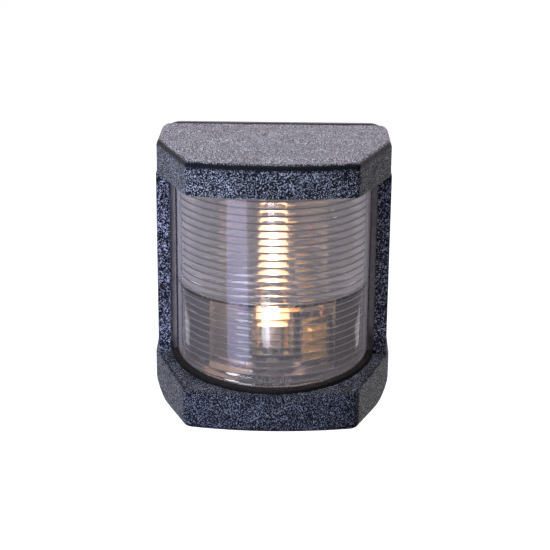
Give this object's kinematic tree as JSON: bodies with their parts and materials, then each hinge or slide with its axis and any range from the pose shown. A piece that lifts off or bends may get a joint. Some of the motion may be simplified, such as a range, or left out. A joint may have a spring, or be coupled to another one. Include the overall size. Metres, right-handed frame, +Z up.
{
  "type": "navigation light",
  "caption": "Bulkhead navigation light for small craft: clear ridged drum lens between black caps, on a wall base with a festoon bulb.",
  "frame": {"origin": "midway between the two fixing-screw holes, on the wall plane at the back of the gasket", "axes": "+Z up, the lens faces -Y, +Y goes into the wall, +X to the right as seen by someone facing the lens"},
  "size_m": [0.0754, 0.0516, 0.0872],
  "materials": {
    "housing_black": "moulded, fine spark-eroded grain",
    "base_black": "moulded, plain satin",
    "seal_rubber": "matt",
    "lens_clear": "polished, clear",
    "screen_black": "matt, non-reflecting",
    "holder_insulator": "moulded phenolic, satin",
    "terminal_plastic": "moulded, satin",
    "contact_brass": "rolled strip",
    "bulb_clear_glass": "drawn tube, clear",
    "cap_nickel": "plated",
    "filament_tungsten": "white hot",
    "screw_stainless": "turned",
    "lead_brown": "extruded",
    "lead_black": "extruded"
  },
  "bodies": {
    "base": {"wall_gasket": "seal_rubber", "mounting_base": "base_black", "base_seal": "seal_rubber", "cable_grommet": "seal_rubber", "sector_screen": "screen_black", "lampholder": "holder_insulator", "lampholder_screws": "screw_stainless", "upper_contact_tab": "contact_brass", "lower_contact_tab": "contact_brass", "contact_rivets": "contact_brass", "terminal_block": "terminal_plastic", "terminal_plates": "contact_brass", "positive_lead": "lead_brown", "negative_lead": "lead_black"},
    "upper_contact": {"upper_contact_leaf": "contact_brass"},
    "lower_contact": {"lower_contact_leaf": "contact_brass"},
    "bulb": {"bulb_glass": "bulb_clear_glass", "bulb_upper_cap": "cap_nickel", "bulb_lower_cap": "cap_nickel", "bulb_filament": "filament_tungsten"},
    "positive_terminal": {"positive_terminal_screw": "contact_brass"},
    "negative_terminal": {"negative_terminal_screw": "contact_brass"},
    "cover": {"top_cap": "housing_black", "bottom_cap": "housing_black", "side_frame": "housing_black", "top_cap_screws": "screw_stainless", "bottom_cap_screws": "screw_stainless", "fresnel_lens": "lens_clear", "upper_lens_seal": "seal_rubber", "lower_lens_seal": "seal_rubber", "lens_collar": "seal_rubber", "screw_seal": "seal_rubber", "screw_clip": "screw_stainless"},
    "cover_screw": {"retaining_screw": "screw_stainless"},
    "cover_nut": {"square_nut": "screw_stainless"}
  },
  "joints": [
    {"name": "cover_removal", "type": "slide", "parent": "base", "child": "cover", "axis": [0, -1, 0], "range_m": [0, 0.06]},
    {"name": "retaining_screw_turn", "type": "hinge", "parent": "cover", "child": "cover_screw", "pos_m": [0, -0.0125, -0.04], "axis": [0, 0, -1], "range_deg": [0, 720]},
    {"name": "nut_travel", "type": "slide", "parent": "cover", "child": "cover_nut", "axis": [0, 0, 1], "range_m": [0, 0.0014]},
    {"name": "bulb_removal", "type": "slide", "parent": "base", "child": "bulb", "axis": [0, -1, 0], "range_m": [0, 0.014]},
    {"name": "upper_contact_flex", "type": "hinge", "parent": "base", "child": "upper_contact", "pos_m": [0, -0.00855, 0.01515], "axis": [-1, 0, 0], "range_deg": [0, 5], "stiffness_Nm_per_rad": 0.3},
    {"name": "lower_contact_flex", "type": "hinge", "parent": "base", "child": "lower_contact", "pos_m": [0, -0.00855, -0.02205], "axis": [1, 0, 0], "range_deg": [0, 5], "stiffness_Nm_per_rad": 0.3},
    {"name": "positive_terminal_turn", "type": "hinge", "parent": "base", "child": "positive_terminal", "pos_m": [0.0131, -0.009, -0.0172], "axis": [0, -1, 0], "range_deg": [0, 720]},
    {"name": "negative_terminal_turn", "type": "hinge", "parent": "base", "child": "negative_terminal", "pos_m": [0.0131, -0.009, -0.0238], "axis": [0, -1, 0], "range_deg": [0, 720]}
  ],
  "couplings": [
    {"joint": "retaining_screw_turn", "follows": "nut_travel", "rad_per_m": 8975.9}
  ]
}
